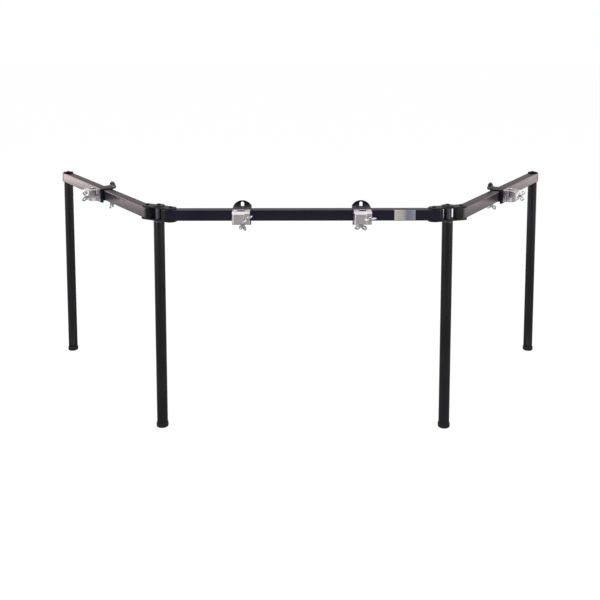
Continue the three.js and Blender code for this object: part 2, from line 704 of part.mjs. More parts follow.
const rack = new THREE.Group();
const front_bolt_place = front_bar_length / 2 - corner_bolt_setback;
add(
  rack, 'front_bar',
  barTube(-front_bolt_place, corner_bolt_setback, corner_bolt_setback, front_bar_length), black_tube,
).position.z = bar_axis_height;
const left_plug = add(rack, 'front_bar_left_plug', endPlug(corner_bolt_setback), black_plastic);
left_plug.position.set(-front_bar_length / 2, 0, bar_axis_height);
const right_plug = add(rack, 'front_bar_right_plug', endPlug(corner_bolt_setback), black_plastic);
right_plug.position.set(front_bar_length / 2, 0, bar_axis_height);
right_plug.rotation.z = Math.PI;
const left_corner = addCorner(rack, 'left', -front_bolt_place, left_link_angle);
const right_corner = addCorner(rack, 'right', front_bolt_place, right_link_angle);
const left_wing = addWing(left_corner, 'left', left_wing_angle - left_link_angle);
const right_wing = addWing(right_corner, 'right', right_wing_angle - right_link_angle);
addClamp(rack, 'front_left', front_left_clamp_place, 0);
addClamp(rack, 'front_right', front_right_clamp_place, 0);
addClamp(left_wing, 'left_wing', left_wing_clamp_place, 180);
addClamp(right_wing, 'right_wing', right_wing_clamp_place, 0);

// The origin: on the floor, under the middle of the rack's outline
const outline_box = new THREE.Box3().setFromObject(rack, true);
const middle = outline_box.getCenter(new THREE.Vector3());
rack.position.set(-middle.x, -middle.y, -outline_box.min.z);

export default rack;
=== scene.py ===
"""A three-sided drum rack of black square tube on four round legs, with hinged pipe clamps in plated metal.

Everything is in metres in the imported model's own frame. A piece that stands for a CAD node is worked out
from that node's place and reach.
"""
import json
import math

import bmesh
import bpy
import numpy as np
from mathutils import Matrix, Vector

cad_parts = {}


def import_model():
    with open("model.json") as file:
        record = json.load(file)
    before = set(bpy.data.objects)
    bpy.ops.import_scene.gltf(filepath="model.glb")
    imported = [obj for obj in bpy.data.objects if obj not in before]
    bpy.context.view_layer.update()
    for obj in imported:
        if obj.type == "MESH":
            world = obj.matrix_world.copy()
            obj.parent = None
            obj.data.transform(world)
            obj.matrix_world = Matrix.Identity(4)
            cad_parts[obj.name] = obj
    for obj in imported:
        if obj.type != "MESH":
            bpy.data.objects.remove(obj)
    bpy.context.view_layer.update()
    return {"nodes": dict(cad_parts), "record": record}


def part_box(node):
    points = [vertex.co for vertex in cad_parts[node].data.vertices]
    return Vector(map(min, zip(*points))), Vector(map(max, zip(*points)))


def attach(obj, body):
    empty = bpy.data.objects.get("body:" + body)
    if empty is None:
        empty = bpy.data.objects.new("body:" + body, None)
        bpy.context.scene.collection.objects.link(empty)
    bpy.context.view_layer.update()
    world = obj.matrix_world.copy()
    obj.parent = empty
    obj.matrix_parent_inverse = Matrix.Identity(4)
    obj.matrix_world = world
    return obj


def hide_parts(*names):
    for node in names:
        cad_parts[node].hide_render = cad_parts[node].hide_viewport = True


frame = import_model()

MM = 0.001
record = frame["record"]
cad = frame["nodes"]
joints = {joint["name"]: joint for joint in record["behaviour"]["joints"]}
body_of = {node: body for body, nodes in record["behaviour"]["bodies"].items() for node in nodes}
slot_of = {row["node"]: row["material_slot"] for row in record["subparts"]}
SIDES = ("left", "right")
CLAMPS = ("front_left", "front_right", "left_wing", "right_wing")

# Sizes that the solids have, in metres
BAR_SIDE = 38.1 * MM
BAR_WALL = 2.5 * MM
BAR_CORNER = 3 * MM
LEG_WALL = 2.5 * MM
LEG_SPIGOT_RADIUS = 16.25 * MM
LINK_PLATE = 5 * MM
LINK_GAP = 0.3 * MM
PLUG_HEAD = 14 * MM
BOLT_RADIUS = 4 * MM
BOLT_HEAD_RADIUS = 7 * MM
BOLT_HEAD = 3.8 * MM

# Where the low and the high patches of a noise texture begin
PATCHES = (0.3, 0.7)
# A mottled finish's patches, in metres
MOTTLE = 25 * MM
WHITE = (1, 1, 1, 1)

# Points round a turned form
AROUND = 64
# New faces that meet at less than this look like one smooth face
SMOOTH_TURN = math.radians(35)
# Points of a solid this close are one point, and faces that turn this little are one face
SAME_POINT = 0.002 * MM
SAME_FACE = math.radians(0.5)
# Faces of a solid that turn more than this meet at a corner, which is rounded
CORNER_TURN = math.radians(40)
# The share of the shortest line beside it that a rounding takes at most
ROOM_SHARE = 0.4
# How much the distances of a round rim's points from its middle vary, as a share of them
RIM_TOLERANCE = 0.02


# Materials


def linear(hex_colour):
    """sRGB hex to the linear RGBA that Blender's sockets take."""
    values = np.array([int(hex_colour[i:i + 2], 16) for i in (1, 3, 5)]) / 255
    low = values / 12.92
    high = ((values + 0.055) / 1.055) ** 2.4
    return (*np.where(values <= 0.04045, low, high), 1.0)


def put(tree, kind, links=None, **settings):
    """Adds a node. Settings are its properties or unlinked sockets, links are socket: output."""
    made = tree.nodes.new(kind)
    for name, value in settings.items():
        if hasattr(made, name):
            setattr(made, name, value)
        else:
            made.inputs[name.replace("_", " ")].default_value = value
    for name, output in (links or {}).items():
        tree.links.new(output, made.inputs[name])
    return made


def finish_of(name, colour, metallic, roughness, **settings):
    """A material with one Principled shader, and its tree, shader and texture coordinates."""
    material = bpy.data.materials.new(name)
    material.use_nodes = True
    tree = material.node_tree
    shader = tree.nodes["Principled BSDF"]
    shader.inputs["Base Color"].default_value = linear(colour)
    shader.inputs["Metallic"].default_value = metallic
    shader.inputs["Roughness"].default_value = roughness
    for socket, value in settings.items():
        shader.inputs[socket.replace("_", " ")].default_value = value
    return material, tree, shader, put(tree, "ShaderNodeTexCoord")


def noise(tree, vector, scale, detail, **settings):
    """Noise from 0 to 1, with as many patches to one unit of its vector as the scale says."""
    made = put(tree, "ShaderNodeTexNoise", {"Vector": vector}, Scale=scale, Detail=detail, **settings)
    return made.outputs["Fac"]


def ramp_of(tree, value, stops):
    """A colour ramp over a value, from (place, sRGB hex) stops in their order."""
    made = put(tree, "ShaderNodeValToRGB", {"Fac": value})
    elements = made.color_ramp.elements
    for at, _ in stops[1:-1]:
        elements.new(at)
    for stop, (at, colour) in zip(elements, stops):
        stop.position = at
        stop.color = linear(colour)
    return made.outputs["Color"]


def spread(tree, value, within, onto):
    """A value between two limits laid onto two other limits."""
    made = put(tree, "ShaderNodeMapRange", {"Value": value})
    for socket, limit in zip(("From Min", "From Max", "To Min", "To Max"), (*within, *onto)):
        made.inputs[socket].default_value = limit
    return made.outputs["Result"]


def surfaced(tree, shader, colour, roughness, height, strength, depth):
    """Links a colour, a roughness and a bump made from a height to a shader."""
    bump = put(tree, "ShaderNodeBump", {"Height": height}, Strength=strength, Distance=depth)
    tree.links.new(colour, shader.inputs["Base Color"])
    tree.links.new(roughness, shader.inputs["Roughness"])
    tree.links.new(bump.outputs["Normal"], shader.inputs["Normal"])


def anodised_tube(name, colours):
    """Black anodised tube: a dark metal, brownish where it is seen at a slant, with fine lines along it."""
    material, tree, shader, place = finish_of(name, colours[0], metallic=1.0, roughness=0.3)
    shader.inputs["Specular Tint"].default_value = linear("#fff6f1")
    # Drawing lines are some 0.1 mm apart. They are drawn 2 mm apart and some 140 mm long, so that they show
    lines_per_metre = (7, 500, 1)
    clouds_per_metre = 9.0
    along = put(tree, "ShaderNodeMapping", {"Vector": place.outputs["UV"]}, vector_type="POINT")
    along.inputs["Scale"].default_value = lines_per_metre
    lines = noise(tree, along.outputs["Vector"], scale=1.0, detail=3.0)
    cloud = noise(tree, place.outputs["Object"], scale=clouds_per_metre, detail=5.0)
    both = put(tree, "ShaderNodeMath", {0: lines, 1: cloud}, operation="ADD")
    rough = spread(tree, both.outputs["Value"], within=(0.6, 1.4), onto=(0.24, 0.36))
    colour = ramp_of(tree, cloud, tuple(zip(PATCHES, colours)))
    surfaced(tree, shader, colour, rough, lines, strength=0.06, depth=0.2 * MM)
    return material


def grained(name, colours, metallic, roughness, grain, depth, **settings):
    """A finish with a mottled colour and roughness, and a grain of the given size and depth in metres."""
    material, tree, shader, place = finish_of(name, colours[0], metallic, roughness[0], **settings)
    cloud = noise(tree, place.outputs["Object"], scale=1 / MOTTLE, detail=6.0, Roughness=0.6)
    fine = noise(tree, place.outputs["Object"], scale=1 / grain, detail=3.0)
    colour = ramp_of(tree, cloud, tuple(zip(PATCHES, colours)))
    rough = spread(tree, cloud, within=PATCHES, onto=roughness)
    surfaced(tree, shader, colour, rough, fine, strength=0.3, depth=depth)
    return material


def silver_foil():
    """A blank foil label: warm silver that turns to bluish silver along its length."""
    material, tree, shader, place = finish_of("blank_silver_foil", "#b9b6b0", metallic=0.3, roughness=0.34)
    split = put(tree, "ShaderNodeSeparateXYZ", {"Vector": place.outputs["UV"]})
    stops = ((0.0, "#dedbd2"), (0.4, "#c7c4bc"), (0.62, "#858c9b"), (1.0, "#a0a7b6"))
    tree.links.new(ramp_of(tree, split.outputs["X"], stops), shader.inputs["Base Color"])
    return material


finishes = {
    # Anodised bars: a bluish black
    "black_tube": anodised_tube("bluish_black_anodised_tube", ("#343341", "#3b3a48")),
    # Coated steel plate: a low sheen with a slight orange peel, 1.5 mm across
    "black_plate": grained(
        "black_coated_plate", ("#121217", "#19191f"), metallic=0.0, roughness=(0.42, 0.54),
        grain=1.5 * MM, depth=0.05 * MM, IOR=1.42,
    ),
    # Moulded nylon: dull, with a fine sparkle grain drawn 0.8 mm across so that it shows
    "black_plastic": grained(
        "moulded_black_nylon", ("#0f0f13", "#16161a"), metallic=0.0, roughness=(0.45, 0.6),
        grain=0.8 * MM, depth=0.06 * MM, IOR=1.5,
    ),
    # Moulded rubber: no sheen, slightly chalky
    "rubber": grained(
        "moulded_black_rubber", ("#0f0f0f", "#1a1a1a"), metallic=0.0, roughness=(0.7, 0.9),
        grain=1 * MM, depth=0.1 * MM, IOR=1.5,
    ),
    # Nickel-plated zinc casting: a pale, faintly lilac metal whose satin skin softens what it mirrors
    "chrome": grained(
        "satin_nickel_casting", ("#dad4d8", "#e8e3e4"), metallic=1.0, roughness=(0.19, 0.31),
        grain=8 * MM, depth=0.03 * MM,
    ),
    # Blackened steel: dark metal with an oily sheen
    "dark_steel": grained(
        "blackened_steel", ("#26262a", "#36363a"), metallic=1.0, roughness=(0.28, 0.42),
        grain=0.8 * MM, depth=0.04 * MM,
    ),
}
# Anodised legs: nearly neutral black
leg_tube = anodised_tube("neutral_black_anodised_tube", ("#343336", "#3b3a3e"))
# Chrome plate on the wing screws: bright, with hard light and dark streaks
bright_chrome = grained(
    "bright_chrome", ("#bab8bc", "#c8c6c9"), metallic=1.0, roughness=(0.06, 0.14),
    grain=5 * MM, depth=0.02 * MM,
)
# Turned steel with a thin dark coat: a dull grey column with a soft streak of light
turned_steel = grained(
    "turned_steel", ("#57565b", "#67666b"), metallic=1.0, roughness=(0.3, 0.42),
    grain=1 * MM, depth=0.03 * MM,
)
# Matt black coat: almost no light comes back from it
matt_black = grained(
    "matt_black_coat", ("#0e0e0e", "#151515"), metallic=0.0, roughness=(0.8, 0.95),
    grain=1 * MM, depth=0.05 * MM, IOR=1.3, Specular_IOR_Level=0.15,
)
foil = silver_foil()


# Surfaces worked out from points, and the pieces made from them

UPRIGHT = np.eye(3)


def skin(rings, loop=False):
    """Points and faces of a surface on a grid: each ring is joined to the next one point by point.

    The last ring is joined to the first if loop is true, and otherwise each end is closed by one face.
    """
    rings = np.asarray(rings, float)
    count, around = rings.shape[:2]
    ids = np.arange(count * around).reshape(count, around)
    if loop:
        ids = np.vstack((ids, ids[:1]))
    ahead = np.roll(ids, -1, axis=1)
    quads = np.stack((ids[:-1], ahead[:-1], ahead[1:], ids[1:]), axis=-1).reshape(-1, 4)
    ends = [] if loop else [ids[0, ::-1].tolist(), ids[-1].tolist()]
    return rings.reshape(-1, 3), quads.tolist() + ends


def moved(surface, axes, origin):
    """A surface's own x, y, z laid along three axes from an origin: point = origin + sum of each."""
    points, faces = surface
    return points @ np.asarray(axes, float) + np.asarray(origin, float), faces


def together(*surfaces):
    """Several surfaces as one, each with its faces counted on from the last."""
    points = []
    faces = []
    start = 0
    for some, own in surfaces:
        points.append(some)
        faces += [[i + start for i in face] for face in own]
        start += len(some)
    return np.vstack(points), faces


def full_turn(steps):
    """Even angles from zero to just short of a full turn."""
    return np.linspace(0, 2 * math.pi, steps, endpoint=False)


def circle(steps):
    """Unit circle: (cos t, sin t) with t from zero round to a full turn."""
    turn = full_turn(steps)
    return np.stack((np.cos(turn), np.sin(turn)), axis=-1)


def turned(profile, steps=AROUND, loop=False):
    """Turned form: ring i is the unit circle times radius i, at height i."""
    profile = np.asarray(profile, float)
    rings = np.empty((len(profile), steps, 3))
    rings[..., :2] = profile[:, None, :1] * circle(steps)
    rings[..., 2] = profile[:, None, 1]
    return skin(rings, loop)


def rounded_square(side, radius, steps=6):
    """A square's outline with round corners: corner centres plus the radius times a quarter circle."""
    quarters = np.arange(4)[:, None] * math.pi / 2
    turn = np.linspace(0, math.pi / 2, steps + 1) + quarters
    middle = math.pi / 4 + quarters
    reach = (side / 2 - radius) * math.sqrt(2)
    across = reach * np.cos(middle) + radius * np.cos(turn)
    up = reach * np.sin(middle) + radius * np.sin(turn)
    return np.stack((across, up), axis=-1).reshape(-1, 2)


def carried(outlines, places):
    """Outline i, in y and z, set at place i along x."""
    outlines = np.asarray(outlines, float)
    rings = np.empty((*outlines.shape[:2], 3))
    rings[..., 1:] = outlines
    rings[..., 0] = np.asarray(places, float)[:, None]
    return rings


def rounding(radius, steps=4):
    """How far in and how far along a rounded edge's points are: radius times 1 - sin, 1 - cos."""
    turn = np.linspace(0, math.pi / 2, steps + 1)
    return radius * (1 - np.sin(turn)), radius * (1 - np.cos(turn))


def rounded_top(radius, top, edge, steps=4):
    """A turned form's rounded upper edge as (radius, height) points, from below to the top."""
    inwards, down = rounding(edge, steps)
    return [(radius - i, top - d) for i, d in zip(inwards, down)][::-1]


def points_of(node):
    """The points of a CAD node."""
    mesh = cad[node].data
    points = np.empty(len(mesh.vertices) * 3)
    mesh.vertices.foreach_get("co", points)
    return points.reshape(-1, 3)


def reach_of(node, axes, origin):
    """Lowest and highest corner of a CAD node along its own axes, from its own origin."""
    own = (points_of(node) - origin) @ np.asarray(axes).T
    return own.min(0), own.max(0)


def middle_of(node):
    """The middle of a CAD node's box."""
    low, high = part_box(node)
    return (low + high) / 2


def on_axis(node, surface):
    """A surface with its z axis on the upright line through a CAD node's middle."""
    middle = middle_of(node)
    return moved(surface, UPRIGHT, (middle.x, middle.y, 0))


def facing(direction):
    """Three axes: the first along a level direction, the last up."""
    along = np.array([direction[0], direction[1], 0.0])
    along /= np.linalg.norm(along)
    return np.array([along, [-along[1], along[0], 0.0], [0.0, 0.0, 1.0]])


def fresh(name, surface, material, coordinates=None):
    """An object at the origin with this surface, its faces turned outwards and its shading smooth."""
    points, faces = surface
    mesh = bpy.data.meshes.new(name)
    mesh.from_pydata(points.tolist(), [], faces)
    mesh.update()
    shape = bmesh.new()
    shape.from_mesh(mesh)
    bmesh.ops.recalc_face_normals(shape, faces=shape.faces)
    shape.to_mesh(mesh)
    shape.free()
    if coordinates is not None:
        layer = mesh.uv_layers.new(name="UVMap")
        corners = np.empty(len(mesh.loops), int)
        mesh.loops.foreach_get("vertex_index", corners)
        layer.data.foreach_set("uv", np.asarray(coordinates, float)[corners].reshape(-1))
    mesh.polygons.foreach_set("use_smooth", np.ones(len(mesh.polygons), bool))
    mesh.set_sharp_from_angle(angle=SMOOTH_TURN)
    mesh.materials.append(material)
    made = bpy.data.objects.new(name, mesh)
    bpy.context.scene.collection.objects.link(made)
    return made


def stand_for(node, surface, suffix, coordinates=None, finish=None):
    """A new piece in place of a CAD node, in its body and with its slot's finish or a given one."""
    slot = slot_of[node]
    made = fresh(f"{node}_{suffix}", surface, finish or finishes[slot], coordinates)
    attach(made, body_of[node])
    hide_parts(node)
    return made


def round_rims(lines):
    """Those of the given edges that join up to a circle by themselves, such as a drilled hole's rim."""
    left = set(lines)
    rims = set()
    while left:
        loop = set()
        waiting = [left.pop()]
        while waiting:
            line = waiting.pop()
            loop.add(line)
            ahead = {other for corner in line.verts for other in corner.link_edges} & left
            left -= ahead
            waiting += ahead
        corners = np.array([corner.co for corner in {end for line in loop for end in line.verts}])
        radii = np.linalg.norm(corners - corners.mean(0), axis=1)
        if len(corners) == len(loop) and np.ptp(radii) < RIM_TOLERANCE * radii.mean():
            rims |= loop
    return rims


def dressed(node, edge, suffix):
    """A copy of a CAD node with its close points merged and its edges rounded, in the node's place.

    A rounding is as wide as the edge says, or narrower where the lines beside it leave less room. The rims
    of drilled holes stay sharp.
    """
    mesh = cad[node].data.copy()
    mesh.name = f"{node}_{suffix}"
    shape = bmesh.new()
    shape.from_mesh(mesh)
    bmesh.ops.remove_doubles(shape, verts=shape.verts, dist=SAME_POINT)
    bmesh.ops.dissolve_limit(shape, angle_limit=SAME_FACE, verts=shape.verts, edges=shape.edges)
    weight = shape.edges.layers.float.new("bevel_weight_edge")
    corners = [line for line in shape.edges if line.calc_face_angle(0.0) > CORNER_TURN]
    rims = round_rims(corners)
    for line in corners:
        room = min(other.calc_length() for corner in line.verts for other in corner.link_edges)
        line[weight] = 0.0 if line in rims else min(1.0, ROOM_SHARE * room / edge)
    shape.to_mesh(mesh)
    shape.free()
    mesh.polygons.foreach_set("use_smooth", np.ones(len(mesh.polygons), bool))
    mesh.set_sharp_from_angle(angle=CORNER_TURN)
    mesh.materials.clear()
    mesh.materials.append(finishes[slot_of[node]])
    made = bpy.data.objects.new(mesh.name, mesh)
    bpy.context.scene.collection.objects.link(made)
    bevel = made.modifiers.new("rounded_edges", "BEVEL")
    bevel.width = edge
    bevel.segments = 2
    bevel.limit_method = "WEIGHT"
    bevel.harden_normals = True
    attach(made, body_of[node])
    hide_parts(node)
    return made


# Bars, plugs, legs and feet


def square_tube(node, axes, origin):
    """Hollow bar: its outer outline and its bore's outline carried along x, joined round both ends."""
    low, high = reach_of(node, axes, origin)
    inset = 0.4 * MM
    outer = rounded_square(BAR_SIDE, BAR_CORNER)
    edge = rounded_square(BAR_SIDE - 2 * inset, BAR_CORNER - inset)
    bore = rounded_square(BAR_SIDE - 2 * BAR_WALL, BAR_CORNER / 2)
    places = (low[0], low[0], low[0] + inset, high[0] - inset, high[0], high[0])
    rings = carried((bore, edge, outer, outer, edge, bore), places)
    middle = np.array([0.0, 0.0, (low[2] + high[2]) / 2])
    round_it = np.arange(len(outer)) * 4 * BAR_SIDE / len(outer)
    coordinates = np.stack(np.broadcast_arrays(np.array(places)[:, None], round_it), axis=-1)
    surface = moved(skin(rings, loop=True), axes, origin + middle @ axes)
    return stand_for(node, surface, "tube", coordinates.reshape(-1, 2))


def end_plug(node, axes, origin, outwards):
    """Moulded plug: a square head with rounded edges and a shallow raised panel, on a spigot."""
    low, high = reach_of(node, axes, origin)
    head_edge = 1.6 * MM
    panel = 5 * MM
    panel_slope = 0.8 * MM
    panel_depth = 0.5 * MM
    face_depth = 0.7 * MM
    chamfer = 0.3 * MM
    least_corner = 0.1 * MM
    spigot_play = 0.6 * MM
    into_head, along_head = rounding(head_edge)
    insets = [panel + panel_slope, panel, *into_head, 0.0, chamfer]
    places = [panel_depth, face_depth, *along_head, PLUG_HEAD - chamfer, PLUG_HEAD]
    outlines = [
        rounded_square(BAR_SIDE - 2 * inset, max(BAR_CORNER - inset, least_corner)) for inset in insets
    ]
    spigot = rounded_square(BAR_SIDE - 2 * BAR_WALL - spigot_play, BAR_CORNER / 2)
    outlines += [spigot, spigot]
    places += [PLUG_HEAD, high[0] - low[0]]
    middle = np.array([high[0] if outwards else low[0], 0.0, (low[2] + high[2]) / 2])
    own = axes * np.array([[-1.0 if outwards else 1.0], [1.0], [1.0]])
    surface = moved(skin(carried(outlines, places)), own, origin + middle @ axes)
    return stand_for(node, surface, "moulding")


def round_leg(node):
    """Hollow leg: the outer and inner radii turned about the leg's axis, joined round both ends.

    A rear leg's upper end is solid down to the tapped depth, round its bolt.
    """
    low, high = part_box(node)
    radius = (high[0] - low[0]) / 2
    edge = 0.4 * MM
    tapped_depth = 14 * MM
    profile = [
        (radius - LEG_WALL, low[2]), (radius - edge, low[2]), (radius, low[2] + edge),
        (radius, high[2] - edge), (radius - edge, high[2]), (radius - LEG_WALL, high[2]),
    ]
    if node.startswith("rear"):
        profile[-1:] = [(BOLT_RADIUS, high[2]), (BOLT_RADIUS, high[2] - tapped_depth)]
        profile.append((radius - LEG_WALL, high[2] - tapped_depth))
    heights = np.array(profile)[:, 1]
    round_it = np.arange(AROUND) * 2 * math.pi * radius / AROUND
    coordinates = np.stack(np.broadcast_arrays(heights[:, None], round_it), axis=-1)
    surface = on_axis(node, turned(profile, loop=True))
    return stand_for(node, surface, "tube", coordinates.reshape(-1, 2), leg_tube)


def rubber_foot(node):
    """Turned foot: a rounded lower edge, two shallow grooves, a lipped rim and a spigot in the leg."""
    low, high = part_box(node)
    radius = (high[0] - low[0]) / 2
    core = 2 * MM
    bend = 4.5 * MM
    groove_heights = (7.5 * MM, 11 * MM)
    groove = 0.5 * MM
    rim = 16 * MM
    lip = 1 * MM
    lip_corner = 0.3 * MM
    spigot = LEG_SPIGOT_RADIUS
    turn = np.linspace(-math.pi / 2, 0, 9)
    profile = [(core, 0.0), (radius - bend, 0.0)]
    profile += list(zip(radius - bend + bend * np.cos(turn), bend + bend * np.sin(turn)))[1:]
    for height in groove_heights:
        profile += [(radius, height - groove), (radius - groove, height), (radius, height + groove)]
    profile += [
        (radius, rim - lip), (radius - lip_corner, rim - lip_corner), (radius - lip, rim),
        (spigot, rim), (spigot, high[2] - lip), (spigot - lip, high[2]), (core, high[2]),
    ]
    return stand_for(node, on_axis(node, turned(profile)), "moulding")


def washer_cap(node, finish):
    """Turned cap: a flat disc with a rounded upper edge and a hole for its bolt."""
    low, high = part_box(node)
    radius = (high[0] - low[0]) / 2
    chamfer = 0.3 * MM
    profile = [(BOLT_RADIUS, low[2]), (radius - chamfer, low[2]), (radius, low[2] + chamfer)]
    profile += rounded_top(radius, high[2], edge=1.6 * MM) + [(BOLT_RADIUS, high[2])]
    return stand_for(node, on_axis(node, turned(profile, loop=True)), "disc", finish=finish)


def socket_bolt(node):
    """Cap-headed bolt: a turned head and shank, with a hexagonal socket sunk in the head.

    The socket's radius is its flat's distance over the cosine of the angle from the nearest flat's middle.
    """
    low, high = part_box(node)
    steps = 48
    tip = 0.6 * MM
    chamfer = 0.3 * MM
    socket_flat = 2.5 * MM
    socket_depth = 2.4 * MM
    top = high[2]
    seat = top - BOLT_HEAD
    sixth = math.pi / 3
    from_flat = (full_turn(steps) + sixth / 2) % sixth - sixth / 2
    hexagon = socket_flat / np.cos(from_flat)
    rows = [(BOLT_RADIUS - tip, low[2]), (BOLT_RADIUS, low[2] + tip), (BOLT_RADIUS, seat)]
    rows += [(BOLT_HEAD_RADIUS - chamfer, seat), (BOLT_HEAD_RADIUS, seat + chamfer)]
    rows += rounded_top(BOLT_HEAD_RADIUS, top, edge=1.8 * MM)
    rows += [(hexagon + chamfer, top), (hexagon, top - chamfer), (hexagon, top - socket_depth)]
    rings = np.empty((len(rows), steps, 3))
    for ring, (radius, height) in zip(rings, rows):
        ring[:, :2] = circle(steps) * np.broadcast_to(radius, steps)[:, None]
        ring[:, 2] = height
    return stand_for(node, on_axis(node, skin(rings)), "steel")


def corner_post(node):
    """Turned post: a spigot in the leg, a collar on its rim and a pillar through the bottom link plate."""
    low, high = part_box(node)
    core = 2 * MM
    bore_core = 1 * MM
    edge = 0.8 * MM
    pillar = 14 * MM
    collar_height = 6 * MM
    bore_depth = 52 * MM
    collar = (high[0] - low[0]) / 2
    collar_top = high[2] - (BAR_SIDE + LINK_PLATE + 2 * LINK_GAP)
    collar_foot = collar_top - collar_height
    bore_end = high[2] - bore_depth
    spigot = LEG_SPIGOT_RADIUS
    profile = [
        (core, low[2]), (spigot - edge, low[2]), (spigot, low[2] + edge), (spigot, collar_foot),
        (collar - edge / 2, collar_foot), (collar, collar_foot + edge / 2),
        (collar, collar_top - edge), (collar - edge, collar_top), (pillar, collar_top),
        (pillar, high[2] - edge), (pillar - edge, high[2]), (BOLT_RADIUS, high[2]),
        (BOLT_RADIUS, bore_end), (bore_core, bore_end),
    ]
    return stand_for(node, on_axis(node, turned(profile)), "turning", finish=turned_steel)


bar_axes = {"front": (facing((1, 0)), np.array(middle_of("front_bar")) * (1, 1, 0))}
for side in SIDES:
    outer = np.array(joints[f"{side}_wing_swing"]["pos_m"]) * (1, 1, 0)
    rear = np.array(middle_of(f"rear_{side}_bolt")) * (1, 1, 0)
    bar_axes[side] = (facing(rear - outer), outer)

square_tube("front_bar", *bar_axes["front"])
for side in SIDES:
    end_plug(f"front_bar_{side}_plug", *bar_axes["front"], side == "right")
    square_tube(f"{side}_wing_bar", *bar_axes[side])
    end_plug(f"{side}_wing_front_plug", *bar_axes[side], False)
    end_plug(f"{side}_wing_rear_plug", *bar_axes[side], True)
    for leg in (f"front_{side}", f"rear_{side}"):
        round_leg(f"{leg}_leg")
        rubber_foot(f"{leg}_foot")
    dressed(f"{side}_bottom_link", edge=0.9 * MM, suffix="plate")
    dressed(f"{side}_top_link", edge=0.9 * MM, suffix="plate")
    corner_post(f"{side}_corner_post")
    washer_cap(f"{side}_corner_cap", finishes["black_plate"])
    washer_cap(f"rear_{side}_cap", matt_black)
    for bolt in (f"{side}_post_bolt", f"{side}_inner_bolt", f"{side}_outer_bolt", f"rear_{side}_bolt"):
        socket_bolt(bolt)


# Clamps


def threaded(length):
    """Threaded shank down from z = 0: radius less the depth times how far the point is from a crest.

    A point's turn on the helix is its height over the pitch less its angle over a full turn.
    """
    radius = 4 * MM
    pitch = 1.25 * MM
    depth = 0.55 * MM
    end_inset = 0.3 * MM
    steps_per_pitch = 5
    count = int(length / pitch * steps_per_pitch)
    heights = np.linspace(0, -length, count + 1)
    turn = full_turn(24)
    phase = (heights[:, None] / pitch - turn / (2 * math.pi)) % 1
    fade = np.clip(np.minimum(-heights, heights + length) / pitch, 0, 1)[:, None]
    own = radius - depth * (1 - np.abs(2 * phase - 1)) * fade - end_inset * (1 - fade)
    upwards = np.broadcast_to(heights[:, None], own.shape)
    return skin(np.stack((own * np.cos(turn), own * np.sin(turn), upwards), axis=-1))


def looped_ear(side):
    """Looped ear of a wing screw: an oval bar bent to a drop whose point lies in the hub.

    The path is a circle whose radius grows towards the hub, and the bar's section is an oval across it.
    """
    offset = 14 * MM
    rise = 14 * MM
    hub_middle = 7 * MM
    loop = 5.15 * MM
    point_reach = 7 * MM
    point_sharpness = 6
    wire = 3.15 * MM
    thickness_share = 0.85
    steps = 56
    section_steps = 14
    turn = full_turn(steps)
    to_hub = math.atan2(hub_middle - rise, -offset)
    near = np.clip(np.cos(turn - to_hub), 0, 1) ** point_sharpness
    radius = loop + point_reach * near
    path = np.stack((offset + radius * np.cos(turn), rise + radius * np.sin(turn)), axis=-1)
    ahead = np.roll(path, -1, axis=0) - np.roll(path, 1, axis=0)
    ahead /= np.linalg.norm(ahead, axis=1)[:, None]
    across = np.stack((ahead[:, 1], -ahead[:, 0]), axis=-1)
    section = circle(section_steps)
    spread_out = wire * section[:, 0]
    rings = np.empty((steps, section_steps, 3))
    rings[..., 0] = side * (path[:, None, 0] + across[:, None, 0] * spread_out)
    rings[..., 1] = thickness_share * wire * section[:, 1]
    rings[..., 2] = path[:, None, 1] + across[:, None, 1] * spread_out
    return skin(rings, loop=True)


def wing_screw(node, along):
    """Wing screw along its own z: a threaded shank, a turned neck and hub with a rounded end, two ears.

    The axis, the neck, the hub and the ears' direction are where the CAD screw has its points.
    """
    end_slice = 0.01 * MM
    beyond_shank = 5 * MM
    beyond_neck = 7 * MM
    hub = 7.75 * MM
    neck = 6.25 * MM
    edge = 0.5 * MM
    hub_top = 12 * MM
    points = points_of(node)
    heights = points @ along
    heights -= heights.min()
    shank_end = points[heights < end_slice].mean(0)
    across = points - shank_end - np.outer(heights, along)
    far = np.linalg.norm(across, axis=1)
    outwards = across[far.argmax()] / far.max()
    seat = heights[far > beyond_shank].min()
    shoulder = heights[far > beyond_neck].min()
    below = seat - shoulder
    profile = [(hub - edge, 0.0), (hub, edge)] + rounded_top(hub, hub_top, edge=3 * MM, steps=6)
    if shoulder > seat:
        profile = [(neck - edge, below), (neck, below + edge), (neck, 0.0)] + profile
    shank = moved(threaded(seat), UPRIGHT, (0, 0, below))
    surface = together(shank, turned(profile, steps=40), looped_ear(1), looped_ear(-1))
    axes = np.array([outwards, np.cross(along, outwards), along])
    surface = moved(surface, axes, shank_end + along * shoulder)
    return stand_for(node, surface, "screw", finish=bright_chrome)


for name in CLAMPS:
    slide = facing(joints[f"{name}_clamp_slide"]["axis"])
    dressed(f"{name}_clamp_bracket", edge=0.7 * MM, suffix="plate")
    dressed(f"{name}_lower_jaw", edge=0.8 * MM, suffix="plate")
    dressed(f"{name}_pipe_base", edge=0.8 * MM, suffix="casting")
    dressed(f"{name}_pipe_jaw", edge=1.1 * MM, suffix="casting")
    wing_screw(f"{name}_clamp_screw", -slide[2])
    wing_screw(f"{name}_jaw_screw", -slide[1])


# Blank foil label on the front bar


